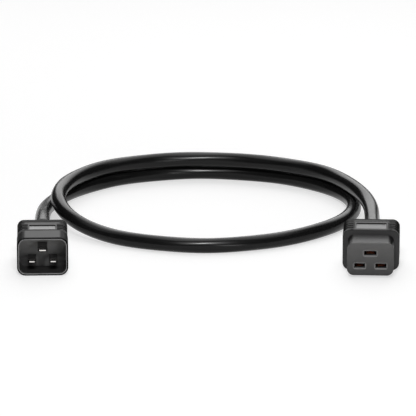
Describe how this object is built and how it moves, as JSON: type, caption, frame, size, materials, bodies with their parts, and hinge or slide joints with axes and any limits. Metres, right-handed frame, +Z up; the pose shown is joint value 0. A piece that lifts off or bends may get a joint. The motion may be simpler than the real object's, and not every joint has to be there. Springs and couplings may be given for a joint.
{
  "type": "c19 power connector",
  "caption": "Moulded C19 power connector with a rectangular nose, three blade slots and a boot, on a looped three-core cord that ends in a C20 plug.",
  "frame": {"origin": "on the surface that the connector rests on, under the middle of the C19 (nose, body and boot)", "axes": "+Z up; +Y from the C19's mating face towards its cord; +X to the right of someone who looks into the mating face"},
  "size_m": [0.2365, 0.224, 0.026],
  "materials": {
    "overmould": "matte black soft vinyl",
    "carrier": "satin black moulded polyamide",
    "inner_mould": "dark polyethylene",
    "contact_bronze": "formed bronze strip",
    "pin_nickel": "nickel plated brass",
    "strands": "bare copper",
    "wire_line": "brown insulation",
    "wire_neutral": "blue insulation",
    "wire_earth": "green and yellow insulation",
    "jacket": "black vinyl jacket, semi gloss"
  },
  "bodies": {
    "root": {"c19_overmould": "overmould", "c19_contact_carrier": "carrier", "c19_inner_mould": "inner_mould", "c19_contact_line": "contact_bronze", "c19_strands_line": "strands", "c19_wire_line": "wire_line", "c19_contact_neutral": "contact_bronze", "c19_strands_neutral": "strands", "c19_wire_neutral": "wire_neutral", "c19_contact_earth": "contact_bronze", "c19_strands_earth": "strands", "c19_wire_earth": "wire_earth", "c20_overmould": "overmould", "c20_pin_carrier": "carrier", "c20_inner_mould": "inner_mould", "c20_pin_line": "pin_nickel", "c20_strands_line": "strands", "c20_wire_line": "wire_line", "c20_pin_neutral": "pin_nickel", "c20_strands_neutral": "strands", "c20_wire_neutral": "wire_neutral", "c20_pin_earth": "pin_nickel", "c20_strands_earth": "strands", "c20_wire_earth": "wire_earth", "cord": "jacket"}
  },
  "joints": []
}
